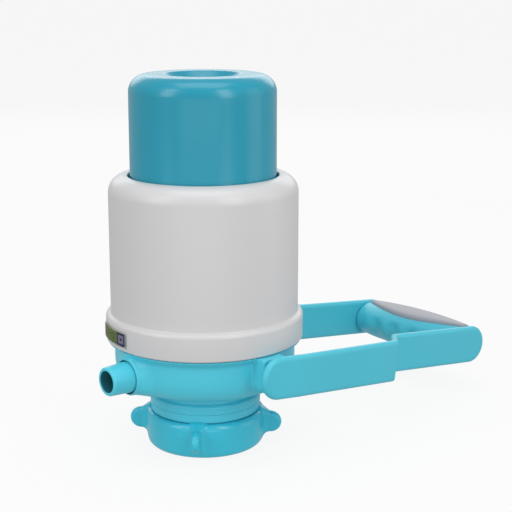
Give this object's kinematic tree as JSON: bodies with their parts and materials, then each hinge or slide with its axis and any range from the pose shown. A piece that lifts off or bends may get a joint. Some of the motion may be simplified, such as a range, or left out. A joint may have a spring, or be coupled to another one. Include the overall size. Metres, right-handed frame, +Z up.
{
  "type": "bottle pump",
  "caption": "Hand press pump for a large water bottle: sprung press cap, side spout, winged neck clamp and a carrying handle that swings up over the cap.",
  "frame": {"origin": "under the middle of the bounding box, at the height of the clamp ring's foot; the pump's own vertical axis is at x = -65.643 mm, y = 0", "axes": "+Z up along the pump's axis, +X towards the handle's grip, so that the spout points along -X"},
  "size_m": [0.269, 0.136, 0.2156],
  "materials": {
    "white_plastic": "satin moulded polypropylene, light grey-white",
    "turquoise_plastic": "satin moulded polypropylene, turquoise",
    "cap_plastic": "satin moulded polypropylene, deep turquoise",
    "ring_plastic": "satin moulded polypropylene, turquoise",
    "insert_plastic": "matte grey-white moulded insert",
    "milky_plastic": "natural milky polyethylene",
    "dark_rubber": "matt elastomer",
    "label": "printed film, plain colour fields",
    "steel": "plain steel pin"
  },
  "bodies": {
    "pump": {"outer_shell": "white_plastic", "skirt_label": "label", "base_body": "turquoise_plastic", "spout_nozzle": "turquoise_plastic", "spout_o_ring": "dark_rubber", "outlet_elbow": "milky_plastic", "deck_plate": "milky_plastic", "air_check_flap": "dark_rubber", "bellows_clamp_ring": "milky_plastic", "bellows": "dark_rubber", "neck_collet": "milky_plastic", "neck_gasket": "dark_rubber", "dip_tube_socket": "milky_plastic", "pivot_washer_near": "milky_plastic", "pivot_washer_far": "milky_plastic"},
    "cap": {"press_cap": "cap_plastic", "bellows_top_plate": "milky_plastic", "air_inlet_flap": "dark_rubber"},
    "ring": {"clamp_ring": "ring_plastic"},
    "handle": {"handle_arm_near": "turquoise_plastic", "handle_arm_far": "turquoise_plastic", "pivot_pin_near": "steel", "pivot_pin_far": "steel", "grip_body": "turquoise_plastic", "grip_insert": "insert_plastic"}
  },
  "joints": [
    {"name": "press_stroke", "type": "slide", "parent": "pump", "child": "cap", "axis": [0, 0, -1], "range_m": [0, 0.042], "stiffness_N_per_m": 700, "springref_m": -0.012, "deforming": ["bellows"]},
    {"name": "ring_turn", "type": "hinge", "parent": "pump", "child": "ring", "pos_m": [-0.06565, 0, 0.01], "axis": [0, 0, 1], "range_deg": [-30, 330]},
    {"name": "handle_swing", "type": "hinge", "parent": "pump", "child": "handle", "pos_m": [-0.06565, 0, 0.0541], "axis": [0, -1, 0], "range_deg": [0, 96.7]}
  ]
}
